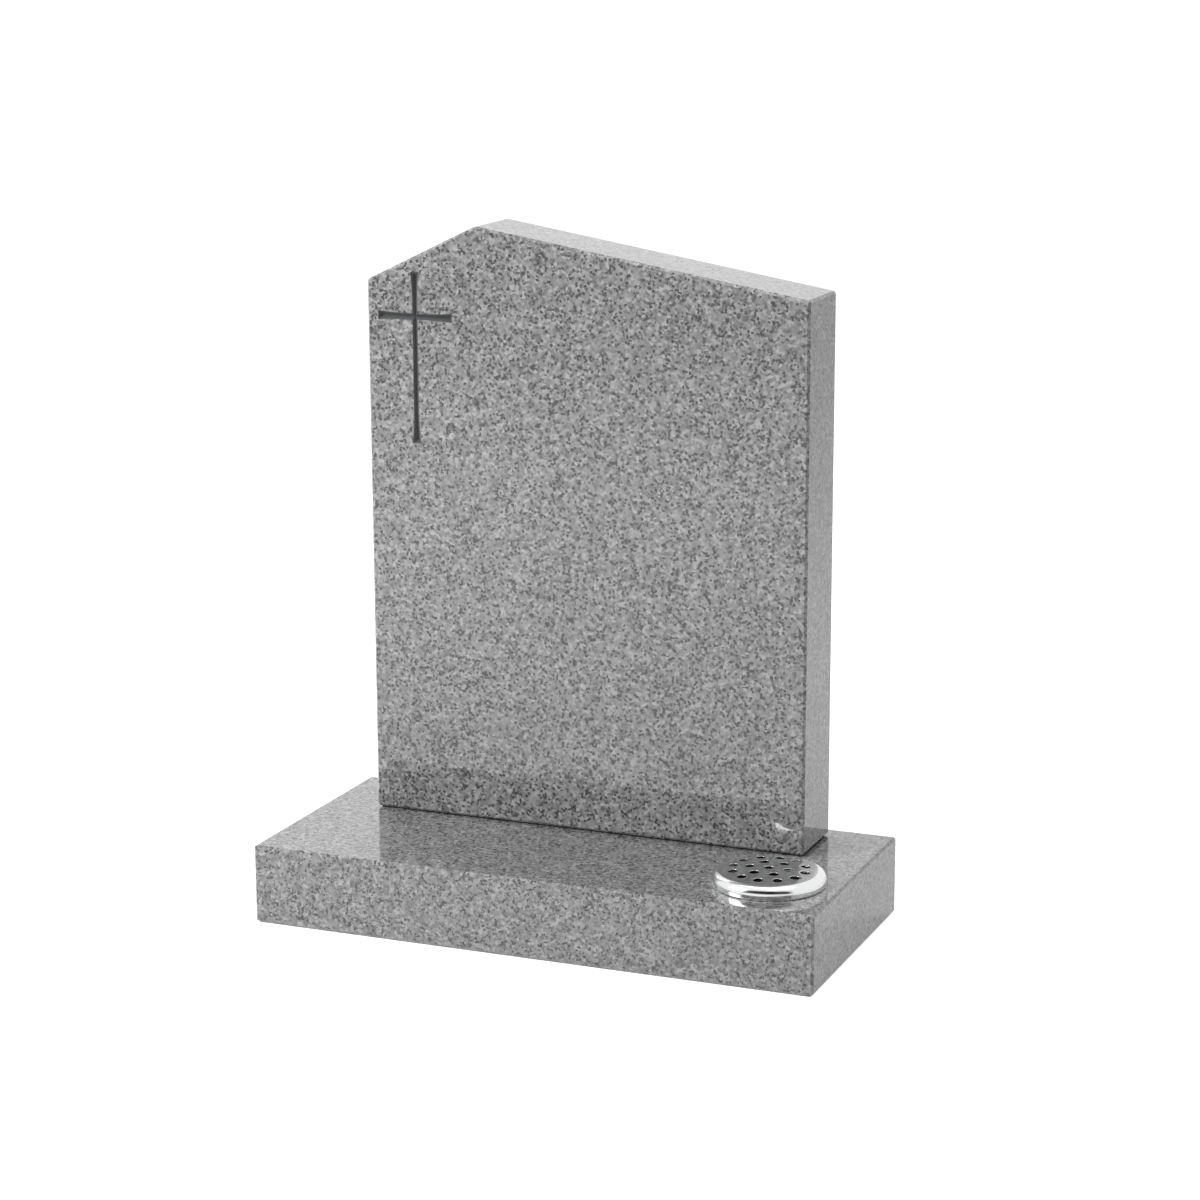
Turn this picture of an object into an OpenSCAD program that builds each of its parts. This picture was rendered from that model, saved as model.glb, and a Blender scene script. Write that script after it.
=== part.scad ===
// Granite headstone on a granite base: a polished plate with an offset peak and a
// V-cut cross, and an aluminium flower container let into the base.
// Millimetres. +Z is up, the inscribed face looks along -Y, and the origin is the
// centre of the base's underside.

/* [Base] */
// Width of the base, left to right
base_w = 740; // [620:1:1000]
// Depth of the base, front to back
base_d = 332; // [275:1:500]
// Height of the base
base_h = 102; // [80:1:200]

/* [Headstone] */
// Width of the headstone
stone_w = 586; // [450:1:720]
// Thickness of the headstone, front to back
stone_t = 102; // [75:1:130]
// Height of the headstone, foot to peak
stone_h = 762; // [600:1:1100]
// How far the shoulders lie below the peak
peak_rise = 72; // [20:1:100]
// Distance of the peak from the headstone's left side
peak_x = 149; // [110:1:300]
// Base left showing to the left of the headstone
left_margin = 72; // [10:1:200]
// Base left showing behind the headstone
back_margin = 23; // [10:1:60]

/* [Edges] */
// Arris taken off the polished edges
arris = 3; // [1:0.5:6]
// Arris round the underside of the base
foot_arris = 5; // [1:0.5:10]

/* [Joint] */
// Thickness of the setting compound under the headstone
bed_t = 2; // [1:0.5:6]
// How far the compound is raked back from the headstone's faces
bed_inset = 5; // [2:0.5:15]
// Diameter of the two fixing dowels
dowel_d = 12; // [10:1:20]
// Resin room round a dowel, each side
dowel_gap = 1; // [0.5:0.5:3]
// Depth of the dowel holes in each stone
dowel_depth = 60; // [40:1:70]
// Distance between the dowels
dowel_pitch = 340; // [200:1:400]

/* [Cross] */
// Height of the cross
cross_h = 219; // [120:1:300]
// Span of the cross's arms
cross_w = 104; // [90:1:125]
// Distance of the upright from the headstone's left side
cross_x = 66; // [64:1:140]
// How far the arms lie below the peak
cross_down = 116; // [105:1:200]
// Length of the upright above the arms
cross_head = 57; // [45:1:60]
// Width of the cut along the middle of the upright
upright_w = 7.2; // [5:0.2:7.4]
// Width of the cut along the middle of the arms
arms_w = 8; // [7.6:0.2:10]
// Width of the cut at its flared ends
cut_end_w = 12; // [6:0.5:16]
// Length over which an end flares
flare_l = 40; // [20:1:44]
// Depth of the V cut as a share of its half width
cut_slope = 1.1; // [0.6:0.05:1.6]
// Thickness of the enamel in the cut
enamel_t = 0.4; // [0.2:0.1:0.8]

/* [Lid] */
// Outer diameter of the lid
lid_d = 140; // [116:1:150]
// Height of the lid's crown above the base
lid_h = 20; // [17:0.5:30]
// Radius to which the crown is spun
crown_r = 600; // [400:10:1200]
// Height of the lid's straight side
side_h = 6; // [4.6:0.2:7]
// Width of the hem rolled inward under the lid's side
hem_w = 4; // [3.5:0.5:6]
// Height of the hem
hem_h = 4; // [3.6:0.1:4.5]
// Bend radius of the hem
hem_r = 1.6; // [1:0.1:1.7]
// Thickness of the spun aluminium
sheet_t = 1.2; // [0.8:0.1:2]
// Diameter of a stem hole
stem_d = 12; // [8:0.5:14]
// Distance of the outer ring of stem holes from the lid's side
stem_margin = 25; // [18:0.5:30]
// Radius of the inner ring of stem holes
stem_inner_r = 24.5; // [17:0.5:26]
// Turn of the lid about its axis
lid_turn = 2; // [0:1:29]

/* [Flower pot] */
// Distance of the container's axis from the base's right end
pot_right = 89; // [80:1:200]
// Distance of the container's axis from the base's front
pot_front = 97; // [78:1:125]
// Clearance between the pot's flange and the lid's hem
flange_gap = 0.8; // [0.4:0.1:2]
// Width of the pot's flange
flange_w = 9.7; // [6:0.1:12]
// Bend radius under the flange
lip_r = 1.5; // [0.5:0.1:3]
// Clearance between the pot and the hole drilled through the base
pot_gap = 5; // [2:0.5:6]
// How much the pot narrows to its foot, each side
pot_taper = 3; // [0:0.5:8]
// Radius round the pot's foot
pot_foot_r = 8; // [4:0.5:12]
// Room left between the pot's floor and the ground
pot_clear = 14; // [5:1:30]
// Chamfer round the mouth of the drilled hole
hole_arris = 1; // [0.5:0.5:2]

/* [Hidden] */
$fn = 96;
granite = [0.56, 0.56, 0.56];
aluminium = [0.82, 0.82, 0.83];
steel = [0.7, 0.7, 0.7];
enamel_grey = [0.25, 0.25, 0.26];
compound_black = [0.08, 0.08, 0.08];

// Longer than any edge of the object, for the slabs that cut its outlines.
far = 4 * (base_w + stone_h);
// How far a cutting solid runs past what it cuts.
over = 1;

stone_x0 = left_margin - base_w / 2;
stone_back = base_d / 2 - back_margin;
stone_front = stone_back - stone_t;
stone_foot = base_h + bed_t;

pot_x = base_w / 2 - pot_right;
pot_y = pot_front - base_d / 2;
pot_depth = base_h - pot_clear;
flange_r = lid_d / 2 - hem_w - flange_gap;
pot_r = flange_r - flange_w;
hole_r = pot_r + pot_gap;

// The shoulder's arc meets the crown and the straight side without a break.
crown_up = lid_h - side_h;
shoulder_r = (2 * crown_r * crown_up - lid_d * lid_d / 4 - crown_up * crown_up)
    / (2 * crown_r - lid_d);
shoulder_c = [lid_d / 2 - shoulder_r, side_h];
crown_c = [0, lid_h - crown_r];
crown_a = asin(shoulder_c.x / (crown_r - shoulder_r));

// Points on an arc about c, from angle a to angle b.
function arc(c, r, a, b, steps) =
    [for (i = [0:steps]) let(t = a + (b - a) * i / steps) c + r * [cos(t), sin(t)]];

// Corner p of an outline between its neighbours, cut off by a flat as wide as an arris.
function cut_corner(before, p, after, c) =
    let(u = (before - p) / norm(before - p), v = (after - p) / norm(after - p),
        reach = c / (sqrt(2) * sin(acos(u * v) / 2)))
    [p + u * reach, p + v * reach];

function cut_corners(pts, c) = let(n = len(pts))
    [for (i = [0:n - 1]) each cut_corner(pts[(i + n - 1) % n], pts[i], pts[(i + 1) % n], c)];

// What is left of space when a chamfered slab is cut along each edge of an outline.
module edge_slabs(pts, t, low_c, high_c) {
    intersection_for (i = [0:len(pts) - 1]) {
        edge = pts[(i + 1) % len(pts)] - pts[i];
        translate([pts[i].x, pts[i].y, 0])
            rotate([0, 0, atan2(edge.y, edge.x)])
            rotate([90, 0, 90])
            linear_extrude(far, center = true)
            polygon([[far, 0], [low_c, 0], [0, low_c], [0, t - high_c], [high_c, t], [far, t]]);
    }
}

// A slab on z = 0 with a convex outline given anticlockwise, its edges all arrised.
module arrised_slab(pts, t, corner_c, low_c, high_c) {
    intersection() {
        translate([0, 0, -over]) linear_extrude(t + 2 * over) polygon(cut_corners(pts, corner_c));
        edge_slabs(pts, t, low_c, high_c);
    }
}

module at_dowel(side) {
    translate([stone_x0 + stone_w / 2 + side * dowel_pitch / 2, stone_back - stone_t / 2, 0])
        children();
}

module at_pot() {
    translate([pot_x, pot_y, base_h]) children();
}

module dowel_hole(z0, z1) {
    translate([0, 0, z0]) cylinder(d = dowel_d + 2 * dowel_gap, h = z1 - z0);
}

module base() {
    x = base_w / 2;
    y = base_d / 2;
    color(granite) difference() {
        arrised_slab([[-x, -y], [x, -y], [x, y], [-x, y]], base_h, arris, foot_arris, arris);
        at_pot() translate([0, 0, -base_h - over]) cylinder(r = hole_r, h = base_h + 2 * over);
        at_pot() translate([0, 0, -hole_arris])
            cylinder(r1 = hole_r, r2 = hole_r + hole_arris + over, h = hole_arris + over);
        for (side = [-1, 1])
            at_dowel(side) dowel_hole(base_h - dowel_depth, base_h + over);
    }
}

// The face's outline, x from its left side and y up from its foot.
stone_outline = [[0, 0], [stone_w, 0], [stone_w, stone_h - peak_rise],
                 [peak_x, stone_h], [0, stone_h - peak_rise]];

// Puts what is drawn on the outline's plane on the headstone, with z out of the face.
module on_face() {
    translate([stone_x0, stone_front, stone_foot]) rotate([90, 0, 0]) children();
}

module headstone() {
    color(granite) difference() {
        on_face() translate([0, 0, -stone_t])
            arrised_slab(stone_outline, stone_t, arris, arris, arris);
        on_face() cross_cut();
        for (side = [-1, 1])
            at_dowel(side) dowel_hole(stone_foot - over, stone_foot + dowel_depth);
    }
}

// Half width of a cut, w wide at its middle, at distance s from its nearer end.
function half_cut(s, w) = let(flare = max(0, 1 - s / flare_l))
    (w + (cut_end_w - w) * flare * flare) / 2;

// One V cut along +X, hipped at both ends, its walls running on above z = 0.
module v_cut(l, w) {
    steps = 6;
    hip = cut_end_w / 2;
    near_end = [for (i = [0:steps]) hip + (flare_l - hip) * i / steps];
    stations = concat(near_end, [for (i = [steps:-1:0]) l - near_end[i]]);
    floor_line = [for (s = stations) [s, 0, -cut_slope * half_cut(min(s, l - s), w)]];
    rim = concat([[0, hip]], [for (s = stations) [s, half_cut(min(s, l - s), w)]], [[l, hip]]);
    spread = over / cut_slope;
    left_rim = [for (p = rim) [p.x, p.y + spread, over]];
    right_rim = [for (p = rim) [p.x, -p.y - spread, over]];
    m = len(rim);
    n = len(stations);
    top = concat([for (i = [0:m - 1]) i], [for (i = [m - 1:-1:0]) m + i]);
    hips = [[0, m, 2 * m], [m - 1, 2 * m + n - 1, 2 * m - 1],
            [0, 2 * m, 1], [m, m + 1, 2 * m],
            [m - 1, m - 2, 2 * m + n - 1], [2 * m - 1, 2 * m + n - 1, 2 * m - 2]];
    walls = [for (i = [0:n - 2]) each [
        [i + 1, 2 * m + i, 2 * m + i + 1, i + 2],
        [m + i + 1, m + i + 2, 2 * m + i + 1, 2 * m + i]]];
    polyhedron(concat(left_rim, right_rim, floor_line), concat([top], hips, walls));
}

module cross_cut() {
    arms_z = stone_h - cross_down;
    translate([cross_x, arms_z + cross_head, 0]) rotate([0, 0, -90]) v_cut(cross_h, upright_w);
    translate([cross_x - cross_w / 2, arms_z, 0]) v_cut(cross_w, arms_w);
}

// The coat of enamel lines the cut and stops flush with the face.
module cross_enamel() {
    lift = enamel_t * norm([1, cut_slope]);
    color(enamel_grey) on_face() difference() {
        intersection() {
            cross_cut();
            translate([0, 0, -stone_t / 2]) cube([stone_w, stone_h, stone_t / 2]);
        }
        translate([0, 0, lift]) cross_cut();
    }
}

module setting_bed() {
    color(compound_black) difference() {
        translate([stone_x0 + bed_inset, stone_front + bed_inset, base_h])
            cube([stone_w - 2 * bed_inset, stone_t - 2 * bed_inset, bed_t]);
        for (side = [-1, 1])
            at_dowel(side) dowel_hole(base_h - over, stone_foot + over);
    }
}

module dowel(side) {
    color(steel) at_dowel(side) translate([0, 0, base_h - dowel_depth])
        cylinder(d = dowel_d, h = 2 * dowel_depth + bed_t - dowel_gap);
}

// A spun cup, its flange lying flat on the base.
module flower_pot() {
    foot = pot_r - pot_taper;
    knee = [foot - pot_foot_r, pot_foot_r - pot_depth];
    lip = [pot_r + lip_r, -lip_r];
    edge = [flange_r - sheet_t / 2, sheet_t / 2];
    color(aluminium) at_pot() rotate_extrude() polygon(concat(
        [[0, -pot_depth]],
        arc(knee, pot_foot_r, -90, 0, 6),
        arc(lip, lip_r, 180, 90, 4),
        arc(edge, sheet_t / 2, -90, 90, 4),
        arc(lip, lip_r + sheet_t, 90, 180, 6),
        arc(knee, pot_foot_r - sheet_t, 0, -90, 6),
        [[0, sheet_t - pot_depth]]));
}

// A spun dome with its side hemmed inward, pierced by a centre hole and two rings.
module flower_lid() {
    side = lid_d / 2;
    inner_r = shoulder_r - sheet_t;
    ring_r = side - stem_margin;
    color(aluminium) at_pot() rotate([0, 0, lid_turn]) difference() {
        rotate_extrude() polygon(concat(
            arc(crown_c, crown_r, 90, 90 - crown_a, 8),
            arc(shoulder_c, shoulder_r, 90 - crown_a, 0, 10),
            arc([side - hem_r, hem_r], hem_r, 0, -90, 4),
            arc([side - hem_w + hem_r, hem_r], hem_r, -90, -180, 4),
            arc([side - hem_w + hem_r, hem_h - hem_r], hem_r, 180, 90, 4),
            [[side - sheet_t, hem_h]],
            arc(shoulder_c, inner_r, 0, 90 - crown_a, 9),
            arc(crown_c, crown_r - sheet_t, 90 - crown_a, 90, 8)));
        stem_hole();
        for (a = [0:60:300]) rotate([0, 0, a]) translate([stem_inner_r, 0, 0]) stem_hole();
        for (a = [0:30:330]) rotate([0, 0, a]) translate([ring_r, 0, 0]) stem_hole();
    }
}

module stem_hole() {
    cylinder(d = stem_d, h = lid_h + over);
}

base();
headstone();
setting_bed();
dowel(-1);  // dowel_left
dowel(1);  // dowel_right
cross_enamel();
flower_pot();
flower_lid();
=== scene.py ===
import math

import bmesh
import bpy
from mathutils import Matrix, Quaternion, Vector
from mathutils.geometry import delaunay_2d_cdt


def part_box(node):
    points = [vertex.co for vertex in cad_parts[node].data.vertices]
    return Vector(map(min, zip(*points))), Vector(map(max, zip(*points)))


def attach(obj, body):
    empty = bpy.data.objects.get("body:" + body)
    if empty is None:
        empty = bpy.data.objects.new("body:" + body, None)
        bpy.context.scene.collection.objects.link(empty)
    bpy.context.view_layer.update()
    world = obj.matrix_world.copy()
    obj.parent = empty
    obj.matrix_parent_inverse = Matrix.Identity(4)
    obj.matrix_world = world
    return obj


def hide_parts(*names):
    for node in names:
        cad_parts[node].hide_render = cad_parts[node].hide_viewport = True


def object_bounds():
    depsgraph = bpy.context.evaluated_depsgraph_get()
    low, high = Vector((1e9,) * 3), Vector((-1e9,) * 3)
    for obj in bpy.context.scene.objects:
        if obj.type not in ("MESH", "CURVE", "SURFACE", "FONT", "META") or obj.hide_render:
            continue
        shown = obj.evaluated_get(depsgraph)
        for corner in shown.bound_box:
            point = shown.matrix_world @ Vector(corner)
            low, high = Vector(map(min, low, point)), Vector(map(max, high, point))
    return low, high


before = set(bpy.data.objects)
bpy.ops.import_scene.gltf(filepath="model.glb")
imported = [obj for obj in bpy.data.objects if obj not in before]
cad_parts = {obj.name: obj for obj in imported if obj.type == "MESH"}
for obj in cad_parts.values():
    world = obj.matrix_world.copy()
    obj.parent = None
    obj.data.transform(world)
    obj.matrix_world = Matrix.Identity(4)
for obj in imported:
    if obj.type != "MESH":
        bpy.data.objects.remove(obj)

cad_low, cad_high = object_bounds()

# ---------------------------------------------------------------------------
# Base: one long low block of light grey granite, sawn, machined square and
# polished on every face, with its edges arrised by hand and a hole core-drilled
# through it for the flower container.
# ---------------------------------------------------------------------------
MM = 0.001


def linear(hex_colour):
    """An sRGB hex colour as linear RGBA."""
    parts = [int(hex_colour[i:i + 2], 16) / 255 for i in (1, 3, 5)]
    return [c / 12.92 if c <= 0.04045 else ((c + 0.055) / 1.055) ** 2.4 for c in parts] + [1]


def add(tree, kind, inputs, **settings):
    """Adds a node, with its attributes, and its inputs as values or as the sockets that feed them."""
    node = tree.nodes.new("ShaderNode" + kind)
    for name, value in settings.items():
        setattr(node, name, value)
    for name, value in inputs.items():
        if isinstance(value, bpy.types.NodeSocket):
            tree.links.new(value, node.inputs[name])
        else:
            node.inputs[name].default_value = value
    return node


def new_material(name):
    """An empty node material, with the output node that its shader goes to."""
    material = bpy.data.materials.new(name)
    material.use_nodes = True
    material.node_tree.nodes.clear()
    return material, material.node_tree, add(material.node_tree, "OutputMaterial", {})


# Granite, diamond-polished: interlocked crystals of white feldspar, grey quartz and
# black mica under one flat glassy surface, with the soft mica a little duller.
feldspar_mm = 3.6
mica_mm = 2.9
patch_mm = 14.0
granite, tree, out = new_material("granite_light_grey_diamond_polished")
place = add(tree, "TexCoord", {}).outputs["Object"]
ragged = add(tree, "TexNoise", {"Vector": place, "Scale": 1 / (1.8 * MM), "Detail": 2.0})
centred = add(tree, "VectorMath", {0: ragged.outputs["Color"], 1: (0.5, 0.5, 0.5)},
              operation="SUBTRACT")
moved = add(tree, "VectorMath", {0: centred.outputs[0], 1: (3.2 * MM,) * 3, 2: place},
            operation="MULTIPLY_ADD").outputs[0]
crystals = add(tree, "TexVoronoi", {"Vector": moved, "Scale": 1 / (feldspar_mm * MM)})
flecks = add(tree, "TexVoronoi", {"Vector": moved, "Scale": 1 / (mica_mm * MM)})
patches = add(tree, "TexNoise", {"Vector": place, "Scale": 1 / (patch_mm * MM), "Detail": 2.0})
crystal_pick = add(tree, "SeparateColor", {"Color": crystals.outputs["Color"]}).outputs["Red"]
fleck_pick = add(tree, "SeparateColor", {"Color": flecks.outputs["Color"]}).outputs["Green"]
minerals = add(tree, "ValToRGB", {"Fac": crystal_pick})
minerals.color_ramp.interpolation = "LINEAR"
for stop, shade in ((0.0, "#6d6d6e"), (0.16, "#878788"), (0.45, "#999999"),
                    (0.75, "#a8a8a8"), (1.0, "#c4c4c3")):
    element = (minerals.color_ramp.elements[0] if stop == 0.0
               else minerals.color_ramp.elements[-1] if stop == 1.0
               else minerals.color_ramp.elements.new(stop))
    element.color = linear(shade)
crowding = add(tree, "MapRange", {"Value": patches.outputs["Fac"], "From Min": 0.3, "From Max": 0.7,
                                  "To Min": 0.0, "To Max": 0.2})
is_mica = add(tree, "MapRange", {"Value": fleck_pick,
                                 "From Min": add(tree, "Math", {0: crowding.outputs[0], 1: 0.14},
                                                 operation="ADD").outputs[0],
                                 "From Max": crowding.outputs[0]})
stone_colour = add(tree, "Mix", {"Factor": is_mica.outputs[0], "A": minerals.outputs["Color"],
                                 "B": linear("#4d4e4f")}, data_type="RGBA")
stone_rough = add(tree, "MapRange", {"Value": is_mica.outputs[0], "To Min": 0.05, "To Max": 0.16})
shader = add(tree, "BsdfPrincipled", {"Base Color": stone_colour.outputs["Result"],
                                      "Roughness": stone_rough.outputs[0], "IOR": 1.54,
                                      "Coat Weight": 0.5, "Coat Roughness": 0.03})
tree.links.new(shader.outputs[0], out.inputs["Surface"])


def dress(node, material):
    """Gives a CAD node its material."""
    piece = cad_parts[node]
    piece.data.materials.clear()
    piece.data.materials.append(material)
    return piece


def soften(piece, width_mm):
    """Rounds a stone's sawn edges by a hair, as polishing does."""
    piece.modifiers.new("one_skin", "WELD").merge_threshold = 0.01 * MM
    bevel = piece.modifiers.new("polished_edge", "BEVEL")
    bevel.width = width_mm * MM
    bevel.segments = 2
    bevel.angle_limit = math.radians(30)
    bevel.harden_normals = True


soften(dress("base", granite), 0.6)

# ---------------------------------------------------------------------------
# Setting bed: black setting compound, trowelled under the headstone and raked
# back, so that it shows as a thin dark joint.
# ---------------------------------------------------------------------------
compound, tree, out = new_material("setting_compound_black_raked")
place = add(tree, "TexCoord", {}).outputs["Object"]
grit = add(tree, "TexNoise", {"Vector": place, "Scale": 1 / (0.8 * MM), "Detail": 3.0})
tone = add(tree, "ValToRGB", {"Fac": grit.outputs["Fac"]})
tone.color_ramp.elements[0].color = linear("#141414")
tone.color_ramp.elements[1].color = linear("#2c2c2c")
relief = add(tree, "Bump", {"Height": grit.outputs["Fac"], "Distance": 0.2 * MM})
shader = add(tree, "BsdfPrincipled", {"Base Color": tone.outputs["Color"], "Roughness": 0.85,
                                      "Normal": relief.outputs["Normal"]})
tree.links.new(shader.outputs[0], out.inputs["Surface"])
dress("setting_bed", compound)

# ---------------------------------------------------------------------------
# Dowels: two stainless bars set in resin, which pin the headstone to the base.
# ---------------------------------------------------------------------------
steel, tree, out = new_material("stainless_steel_drawn_bar")
place = add(tree, "TexCoord", {}).outputs["Object"]
die_lines = add(tree, "Mapping", {"Vector": place, "Scale": (1, 1, 0.02)})
scores = add(tree, "TexNoise", {"Vector": die_lines.outputs[0], "Scale": 1 / (0.5 * MM),
                                "Detail": 3.0})
score_rough = add(tree, "MapRange", {"Value": scores.outputs["Fac"], "To Min": 0.25, "To Max": 0.5})
score_tone = add(tree, "ValToRGB", {"Fac": scores.outputs["Fac"]})
score_tone.color_ramp.elements[0].color = linear("#bdbebf")
score_tone.color_ramp.elements[1].color = linear("#d6d6d7")
shader = add(tree, "BsdfPrincipled", {"Base Color": score_tone.outputs["Color"], "Metallic": 1.0,
                                      "Roughness": score_rough.outputs[0]})
tree.links.new(shader.outputs[0], out.inputs["Surface"])
for side in ("left", "right"):
    dress("dowel_" + side, steel)

# ---------------------------------------------------------------------------
# Headstone: a polished plate of the same granite, sawn to a straight-sided peak
# and stood on the bed with its arrises taken off all round.
# ---------------------------------------------------------------------------
soften(dress("headstone", granite), 0.6)

# ---------------------------------------------------------------------------
# Cross enamel: dark grey stone enamel, brushed into the V-cut cross while it was
# still masked, so that it ends flush with the polished face.
# ---------------------------------------------------------------------------
enamel, tree, out = new_material("stone_enamel_dark_grey_brushed")
place = add(tree, "TexCoord", {}).outputs["Object"]
tooled = add(tree, "TexNoise", {"Vector": place, "Scale": 1 / (0.9 * MM), "Detail": 4.0})
coat = add(tree, "ValToRGB", {"Fac": tooled.outputs["Fac"]})
coat.color_ramp.elements[0].color = linear("#464748")
coat.color_ramp.elements[1].color = linear("#6a6b6c")
grain = add(tree, "Bump", {"Height": tooled.outputs["Fac"], "Distance": 0.15 * MM})
shader = add(tree, "BsdfPrincipled", {"Base Color": coat.outputs["Color"], "Roughness": 0.45,
                                      "Normal": grain.outputs["Normal"]})
tree.links.new(shader.outputs[0], out.inputs["Surface"])
dress("cross_enamel", enamel)

# ---------------------------------------------------------------------------
# Flower pot: a cup spun from aluminium sheet, its flange lying on the base round
# the drilled hole. Spinning leaves fine rings round its axis.
# ---------------------------------------------------------------------------
pot_low, pot_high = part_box("flower_pot")
axis_x, axis_y = (pot_low.x + pot_high.x) / 2, (pot_low.y + pot_high.y) / 2


def spun_aluminium(name, hex_dark, hex_light, rough_low, rough_high, ring_mm, ring_depth):
    """Spun aluminium: rings about the container's axis vary its gloss and its relief."""
    material, tree, out = new_material(name)
    place = add(tree, "TexCoord", {}).outputs["Object"]
    about = add(tree, "VectorMath", {0: place, 1: (axis_x, axis_y, 0)}, operation="SUBTRACT")
    flat = add(tree, "VectorMath", {0: about.outputs[0], 1: (1, 1, 0)}, operation="MULTIPLY")
    radius = add(tree, "VectorMath", {0: flat.outputs[0]}, operation="LENGTH").outputs["Value"]
    height = add(tree, "SeparateXYZ", {"Vector": place}).outputs["Z"]
    across = add(tree, "CombineXYZ", {"X": radius, "Z": height}).outputs[0]
    rings = add(tree, "TexNoise", {"Vector": across, "Scale": 1 / (ring_mm * MM), "Detail": 3.0})
    handling = add(tree, "TexNoise", {"Vector": place, "Scale": 1 / (25 * MM), "Detail": 3.0})
    mixed = add(tree, "Math", {0: rings.outputs["Fac"], 1: handling.outputs["Fac"]},
                operation="MULTIPLY")
    rough = add(tree, "MapRange", {"Value": mixed.outputs[0], "From Min": 0.12, "From Max": 0.4,
                                   "To Min": rough_low, "To Max": rough_high})
    tone = add(tree, "ValToRGB", {"Fac": mixed.outputs[0]})
    tone.color_ramp.elements[0].color = linear(hex_dark)
    tone.color_ramp.elements[1].color = linear(hex_light)
    relief = add(tree, "Bump", {"Height": rings.outputs["Fac"], "Distance": ring_depth * MM})
    shader = add(tree, "BsdfPrincipled", {"Base Color": tone.outputs["Color"], "Metallic": 1.0,
                                          "Roughness": rough.outputs[0],
                                          "Normal": relief.outputs["Normal"]})
    tree.links.new(shader.outputs[0], out.inputs["Surface"])
    return material


pot_metal = spun_aluminium("aluminium_spun_satin", "#8f9092", "#acadae", 0.3, 0.5, 0.6, 0.01)
dress("flower_pot", pot_metal)

# ---------------------------------------------------------------------------
# Flower lid: a dome spun from aluminium sheet and polished, its side hemmed
# inward, punched with a centre hole and two rings of stem holes.
# ---------------------------------------------------------------------------
lid_metal = spun_aluminium("aluminium_spun_polished", "#e9eaea", "#f6f6f6", 0.1, 0.24, 0.5, 0.001)
lid_low, lid_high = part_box("flower_lid")
lid_r, lid_h = (lid_high.x - lid_low.x) / 2, lid_high.z - lid_low.z
crown_r, side_h, hem_w, hem_h, hem_r, sheet_t = (v * MM for v in (600, 6, 4, 4, 1.6, 1.2))
hole_r, outer_ring, inner_ring, lid_turn = 6 * MM, lid_r - 25 * MM, 24.5 * MM, math.radians(2)
crown_up = lid_h - side_h
shoulder_r = (2 * crown_r * crown_up - lid_r ** 2 - crown_up ** 2) / (2 * crown_r - 2 * lid_r)
crown_a = math.asin((lid_r - shoulder_r) / (crown_r - shoulder_r))
pierced_r = lid_r - shoulder_r - 1.5 * MM
around = 256


def arc(centre, radius, start, end, steps):
    """Points (distance from the axis, height) on an arc, its angles in radians."""
    turns = [start + (end - start) * i / steps for i in range(steps + 1)]
    return [(centre[0] + radius * math.cos(t), centre[1] + radius * math.sin(t)) for t in turns]


def crown_z(from_axis, depth):
    """Height of the crown's sheet, depth below its upper face, at a distance from the axis."""
    return lid_h - crown_r + math.sqrt((crown_r - depth) ** 2 - from_axis ** 2)


def ring_points(x, y, radius, count):
    return [Vector((x + radius * math.cos(2 * math.pi * i / count),
                    y + radius * math.sin(2 * math.pi * i / count))) for i in range(count)]


hole_at = [(0.0, 0.0)]
for ring, count in ((inner_ring, 6), (outer_ring, 12)):
    hole_at += [(ring * math.cos(lid_turn + 2 * math.pi * i / count),
                 ring * math.sin(lid_turn + 2 * math.pi * i / count)) for i in range(count)]
hole_steps = 48
punch_r = 0.3 * MM
mesh = bmesh.new()


def strip(lower, upper):
    """Faces between two closed rings of vertices, each as long as the other."""
    for i in range(len(lower)):
        j = (i + 1) % len(lower)
        mesh.faces.new((lower[i], lower[j], upper[j], upper[i]))


def ring_at(x, y, from_centre, z_of, count):
    """A ring of new vertices about (x, y), with z_of giving the height of each."""
    return [mesh.verts.new((axis_x + p.x, axis_y + p.y, lid_low.z + z_of(p.length)))
            for p in ring_points(x, y, from_centre, count)]


# The pierced crown: a net of triangles between its edge and the punched holes, laid
# on the crown's curve once for the upper face and once for the under face.
edges_2d, points_2d = [], []
for x, y, radius, count in [(0.0, 0.0, pierced_r, around)] + [(x, y, hole_r + punch_r, hole_steps)
                                                              for x, y in hole_at]:
    first = len(points_2d)
    points_2d += ring_points(x, y, radius, count)
    edges_2d += [(first + i, first + (i + 1) % count) for i in range(count)]
net_step = 3.2 * MM
net_n = int(pierced_r / net_step) + 1
for row in range(-net_n, net_n + 1):
    for column in range(-net_n, net_n + 1):
        p = Vector(((column + 0.5 * (row % 2)) * net_step, row * net_step * 0.866))
        if p.length < pierced_r - 0.5 * net_step and all(
                (p - Vector(hole)).length > hole_r + punch_r + 0.4 * net_step for hole in hole_at):
            points_2d.append(p)
flat, _, triangles, origins, _, _ = delaunay_2d_cdt(points_2d, edges_2d, [], 0, 1e-7)
kept = [t for t in triangles
        if all((sum((flat[i] for i in t), Vector((0, 0))) / 3 - Vector(hole)).length > hole_r + punch_r
               for hole in hole_at)]
skins = []
for depth in (0.0, sheet_t):
    skin = [mesh.verts.new((axis_x + p.x, axis_y + p.y, lid_low.z + crown_z(p.length, depth)))
            for p in flat]
    skins.append(skin)
    for t in kept:
        corners = [skin[i] for i in t]
        mesh.faces.new(corners if depth == 0.0 else corners[::-1])
index_of = {origin: i for i, group in enumerate(origins) for origin in group}
top_edge = [skins[0][index_of[i]] for i in range(around)]
under_edge = [skins[1][index_of[i]] for i in range(around)]
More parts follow.
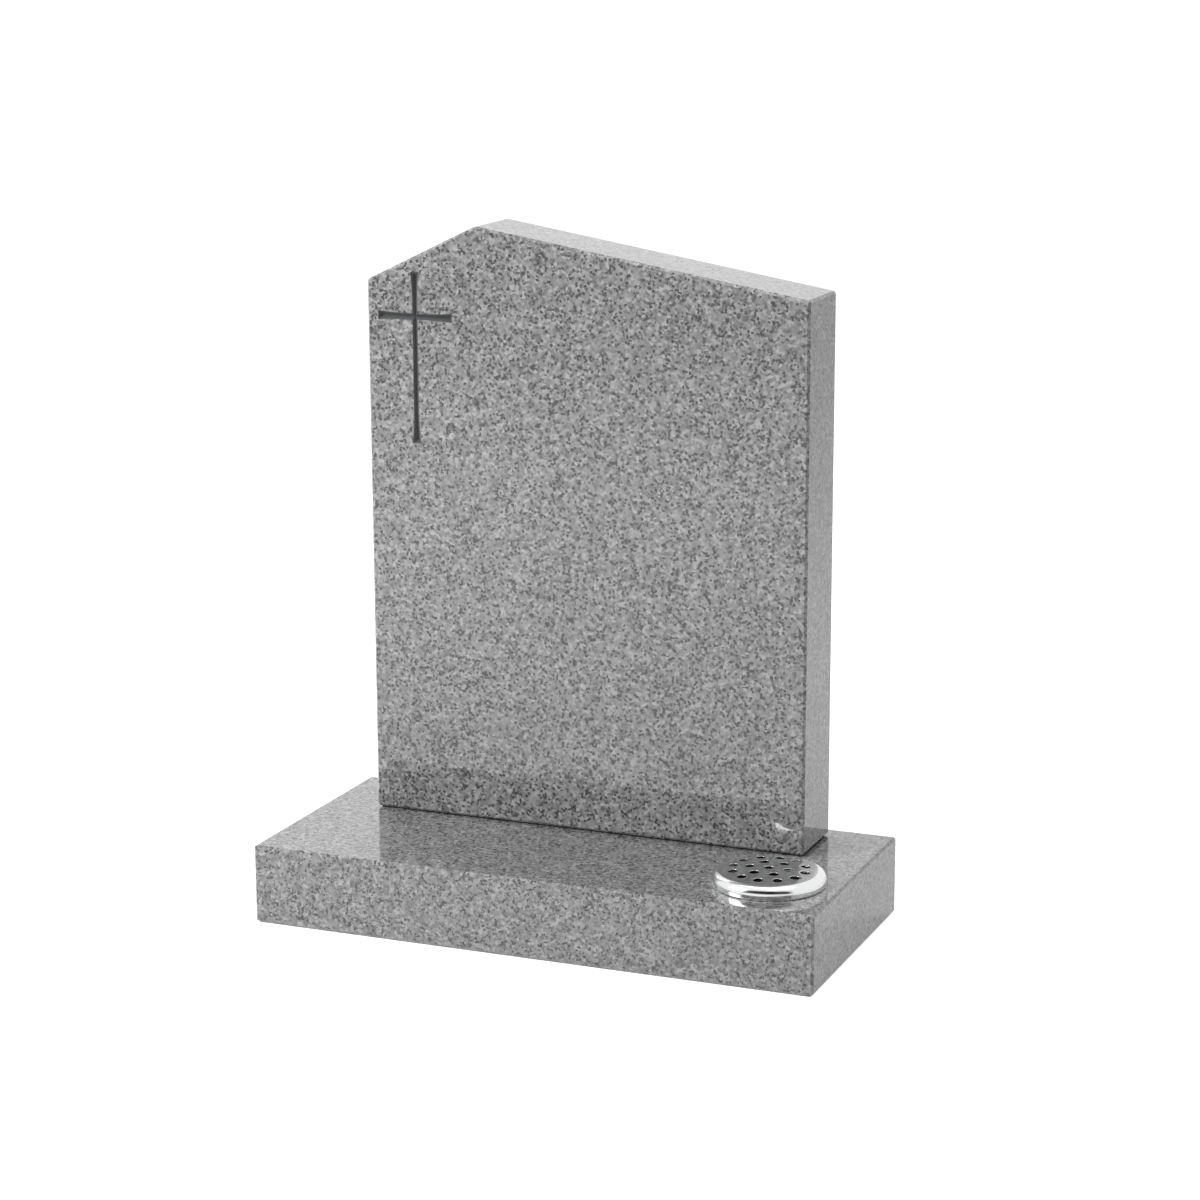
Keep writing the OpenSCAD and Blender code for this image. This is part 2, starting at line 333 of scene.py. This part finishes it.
# Each punched hole: its upper edge drawn in a little by the punch, then the bare wall.
for number, (x, y) in enumerate(hole_at):
    first = around + number * hole_steps
    above = [skins[0][index_of[first + i]] for i in range(hole_steps)]
    below = [skins[1][index_of[first + i]] for i in range(hole_steps)]
    for turn in (30, 60, 90):
        inset = punch_r * (1 - math.sin(math.radians(turn)))
        drop = punch_r * (1 - math.cos(math.radians(turn)))
        lower = ring_at(x, y, hole_r + inset, lambda r, drop=drop: crown_z(r, 0.0) - drop, hole_steps)
        strip(lower, above)
        above = lower
    foot = ring_at(x, y, hole_r, lambda r: crown_z(r, sheet_t), hole_steps)
    strip(foot, above)
    strip(below, foot)
# The spun skirt: shoulder, straight side and hem outside, and back up inside.
crown_centre, shoulder_centre = (0.0, lid_h - crown_r), (lid_r - shoulder_r, side_h)
up = math.pi / 2
pierced_a = math.asin(pierced_r / crown_r)
inner_r = shoulder_r - sheet_t
outline = (arc(crown_centre, crown_r, up - pierced_a, up - crown_a, 2)[1:]
           + arc(shoulder_centre, shoulder_r, up - crown_a, 0, 28)[1:]
           + [(lid_r, side_h - (side_h - hem_r) * k / 3) for k in (1, 2)]
           + arc((lid_r - hem_r, hem_r), hem_r, 0, -up, 8)
           + arc((lid_r - hem_w + hem_r, hem_r), hem_r, -up, -2 * up, 8)
           + arc((lid_r - hem_w + hem_r, hem_h - hem_r), hem_r, 2 * up, up, 8)
           + [(lid_r - sheet_t, hem_h), (lid_r - sheet_t, side_h)]
           + arc(shoulder_centre, inner_r, 0, up - crown_a, 20)[1:])
above = top_edge
for from_axis, z in outline:
    lower = ring_at(0.0, 0.0, from_axis, lambda r, z=z: z, around)
    strip(lower, above)
    above = lower
strip(under_edge, above)
bmesh.ops.recalc_face_normals(mesh, faces=mesh.faces)
for face in mesh.faces:
    face.smooth = True
lid_mesh = bpy.data.meshes.new("lid_spun_and_punched")
mesh.to_mesh(lid_mesh)
mesh.free()
lid_mesh.materials.append(lid_metal)
spun_lid = bpy.data.objects.new("spun_lid", lid_mesh)
bpy.context.scene.collection.objects.link(spun_lid)
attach(spun_lid, "lid")
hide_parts("flower_lid")
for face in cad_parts["flower_pot"].data.polygons:
    face.use_smooth = True

# ---------------------------------------------------------------------------
# Studio: a plain white floor that takes the shadow, one large soft light over
# the front left, and a white surround.
# ---------------------------------------------------------------------------
floor_mesh = bpy.data.meshes.new("studio_floor")
reach = 40
floor_mesh.from_pydata([(-reach, -reach, 0), (reach, -reach, 0), (reach, reach, 0), (-reach, reach, 0)],
                       [], [(0, 1, 2, 3)])
floor = bpy.data.objects.new("studio_floor", floor_mesh)
bpy.context.scene.collection.objects.link(floor)
paper, tree, out = new_material("studio_paper_white_matt")
path = add(tree, "LightPath", {})
mirrored = add(tree, "Math", {0: path.outputs["Is Glossy Ray"], 1: path.outputs["Is Transmission Ray"]},
               operation="MAXIMUM")
seen = add(tree, "Math", {0: path.outputs["Is Camera Ray"], 1: 0.85}, operation="MULTIPLY")
lift = add(tree, "Math", {0: mirrored.outputs[0], 1: 0.45, 2: seen.outputs[0]},
           operation="MULTIPLY_ADD")
shader = add(tree, "BsdfPrincipled", {"Base Color": linear("#e6e6e6"), "Roughness": 0.9,
                                      "Specular IOR Level": 0.0,
                                      "Emission Color": (1, 1, 1, 1),
                                      "Emission Strength": lift.outputs[0]})
tree.links.new(shader.outputs[0], out.inputs["Surface"])
floor_mesh.materials.append(paper)

world = bpy.data.worlds.new("studio_surround")
bpy.context.scene.world = world
world.use_nodes = True
tree = world.node_tree
tree.nodes.clear()
path = add(tree, "LightPath", {})
seen = add(tree, "Math", {0: path.outputs["Is Camera Ray"], 1: path.outputs["Is Glossy Ray"]},
           operation="MAXIMUM")
shown = add(tree, "Math", {0: seen.outputs[0], 1: path.outputs["Is Transmission Ray"]},
            operation="MAXIMUM")
strength = add(tree, "MapRange", {"Value": shown.outputs[0], "To Min": 0.28, "To Max": 1.0})
surround = add(tree, "Background", {"Color": (1, 1, 1, 1), "Strength": strength.outputs[0]})
out = add(tree, "OutputWorld", {"Surface": surround.outputs[0]})


def soft_box(name, centre, aim, width, height, watts):
    """A large rectangular softbox, its face turned to the point it is aimed at."""
    lamp = bpy.data.lights.new(name, "AREA")
    lamp.shape = "RECTANGLE"
    lamp.size, lamp.size_y = width, height
    lamp.energy = watts
    light = bpy.data.objects.new(name, lamp)
    light.location = centre
    light.rotation_euler = (Vector(aim) - Vector(centre)).to_track_quat("-Z", "Y").to_euler()
    bpy.context.scene.collection.objects.link(light)


stone_centre = (cad_low + cad_high) / 2
soft_box("key_front_left", (-2.5, -2.2, 2.3), stone_centre, 2.0, 2.0, 102)
soft_box("overhead", (0.2, 0.3, 3.2), stone_centre, 3.0, 2.0, 20)

soft_box("rim_back_left", (-1.8, 2.2, 2.4), stone_centre, 1.5, 1.5, 30)

# A black card over the camera, which only shows in polished metal.
card_mesh = bpy.data.meshes.new("studio_black_card")
card_mesh.from_pydata([(-2.9, -3.45, 0.7), (4.1, -1.85, 0.7), (4.1, -1.85, 3.2), (-2.9, -3.45, 3.2)],
                      [], [(0, 1, 2, 3)])
card = bpy.data.objects.new("studio_black_card", card_mesh)
bpy.context.scene.collection.objects.link(card)
for kind in ("camera", "diffuse", "shadow", "transmission", "volume_scatter"):
    setattr(card, "visible_" + kind, False)
felt, tree, out = new_material("studio_felt_black")
shader = add(tree, "BsdfPrincipled", {"Base Color": linear("#202020"), "Roughness": 1.0,
                                      "Specular IOR Level": 0.0})
tree.links.new(shader.outputs[0], out.inputs["Surface"])
card_mesh.materials.append(felt)

# The camera looks a little down on the front from its right.
azimuth, elevation, distance = math.radians(22.19), math.radians(13.17), 3.856
aim = Vector((0.0175, 0.040, 0.4069))
back = Vector((math.sin(azimuth) * math.cos(elevation), -math.cos(azimuth) * math.cos(elevation),
               math.sin(elevation)))
lens = bpy.data.cameras.new("camera")
lens.sensor_width = 36
lens.lens = 92.7
lens.clip_end = 60
camera = bpy.data.objects.new("camera", lens)
camera.location = aim + back * distance
roll = Quaternion((0, 0, 1), math.radians(-0.19))
camera.rotation_euler = ((-back).to_track_quat("-Z", "Y") @ roll).to_euler()
bpy.context.scene.collection.objects.link(camera)
bpy.context.scene.camera = camera
bpy.context.scene.view_settings.view_transform = "Standard"
